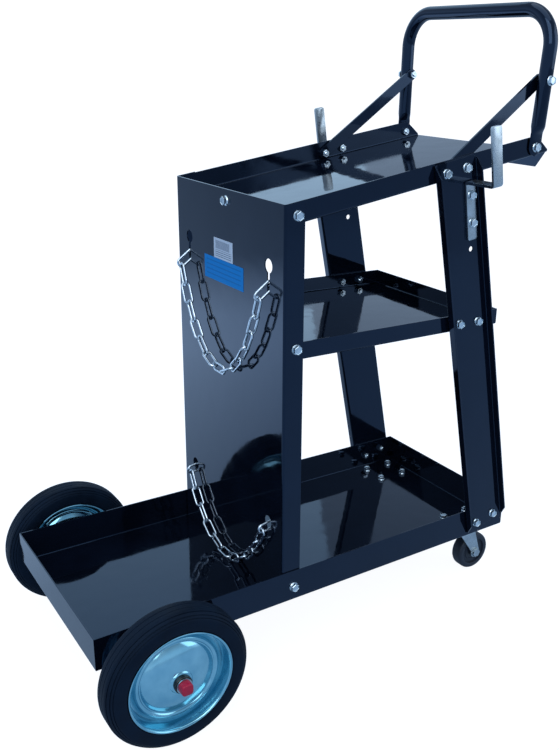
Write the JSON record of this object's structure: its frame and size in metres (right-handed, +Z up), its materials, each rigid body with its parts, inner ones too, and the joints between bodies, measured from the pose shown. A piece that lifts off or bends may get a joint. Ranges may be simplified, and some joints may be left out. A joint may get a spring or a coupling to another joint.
{
  "type": "welding cart",
  "caption": "Three-tier welding cart in black enamel with a gas-cylinder platform, restraint chains, lead hooks, push handle, rear wheels and swivel casters.",
  "frame": {"origin": "on the floor, under the middle of the cart's overall length and width", "axes": "+X towards the push handle, the cylinder platform at -X; +Z up; the cart's mirror plane is Y = 0"},
  "size_m": [0.6926, 0.4332, 0.8403],
  "materials": {
    "enamel": "gloss",
    "zinc": "satin",
    "rubber": "matte",
    "wheel_plastic": "matte",
    "bush_plastic": "gloss",
    "red_cap": "gloss",
    "white_film": "satin",
    "blue_film": "satin"
  },
  "bodies": {
    "frame": {"bottom_tray": "enamel", "cylinder_panel": "enamel", "middle_shelf": "enamel", "top_tray": "enamel", "near_post": "enamel", "far_post": "enamel", "near_hook": "zinc", "far_hook": "zinc", "handle": "enamel", "near_brace": "enamel", "far_brace": "enamel", "rear_axle": "zinc", "near_axle_bracket": "enamel", "far_axle_bracket": "enamel", "axle_spacers": "zinc", "axle_washers": "zinc", "near_axle_cap": "red_cap", "far_axle_cap": "red_cap", "near_caster_plate": "zinc", "near_caster_pin": "zinc", "near_caster_balls": "zinc", "far_caster_plate": "zinc", "far_caster_pin": "zinc", "far_caster_balls": "zinc", "upper_chain_ends": "zinc", "lower_chain_ends": "zinc", "white_sticker": "white_film", "blue_label": "blue_film", "panel_bolts": "zinc", "panel_nuts": "zinc", "post_bolts": "zinc", "post_nuts": "zinc", "hook_bolts": "zinc", "hook_nuts": "zinc", "handle_bolts": "zinc", "handle_nuts": "zinc", "caster_bolts": "zinc", "caster_nuts": "zinc"},
    "near_wheel": {"near_tyre": "rubber", "near_rim_outer": "zinc", "near_rim_inner": "zinc", "near_hub": "bush_plastic"},
    "near_swivel": {"near_caster_fork": "zinc", "near_caster_axle": "zinc"},
    "near_roller": {"near_caster_wheel": "wheel_plastic"},
    "far_wheel": {"far_tyre": "rubber", "far_rim_outer": "zinc", "far_rim_inner": "zinc", "far_hub": "bush_plastic"},
    "far_swivel": {"far_caster_fork": "zinc", "far_caster_axle": "zinc"},
    "far_roller": {"far_caster_wheel": "wheel_plastic"},
    "upper_swing": {"upper_chain": "zinc"},
    "lower_swing": {"lower_chain": "zinc"}
  },
  "joints": [
    {"name": "near_wheel_spin", "type": "hinge", "parent": "frame", "child": "near_wheel", "pos_m": [-0.25732, -0.1817, 0.089], "axis": [0, 1, 0], "continuous": true},
    {"name": "far_wheel_spin", "type": "hinge", "parent": "frame", "child": "far_wheel", "pos_m": [-0.25732, 0.1817, 0.089], "axis": [0, 1, 0], "continuous": true},
    {"name": "near_caster_swivel", "type": "hinge", "parent": "frame", "child": "near_swivel", "pos_m": [0.2696, -0.101, 0.07996], "axis": [0.0209, 0, 0.9998], "continuous": true},
    {"name": "near_caster_roll", "type": "hinge", "parent": "near_swivel", "child": "near_roller", "pos_m": [0.28856, -0.101, 0.03], "axis": [0, 1, 0], "continuous": true},
    {"name": "far_caster_swivel", "type": "hinge", "parent": "frame", "child": "far_swivel", "pos_m": [0.2696, 0.101, 0.07996], "axis": [0.0209, 0, 0.9998], "continuous": true},
    {"name": "far_caster_roll", "type": "hinge", "parent": "far_swivel", "child": "far_roller", "pos_m": [0.28856, 0.101, 0.03], "axis": [0, 1, 0], "continuous": true},
    {"name": "upper_chain_swing", "type": "hinge", "parent": "frame", "child": "upper_swing", "pos_m": [-0.09128, 0, 0.50208], "axis": [0, 1, 0], "range_deg": [0, 60]},
    {"name": "lower_chain_swing", "type": "hinge", "parent": "frame", "child": "lower_swing", "pos_m": [-0.09304, 0, 0.19137], "axis": [0, 1, 0], "range_deg": [0, 60]}
  ]
}
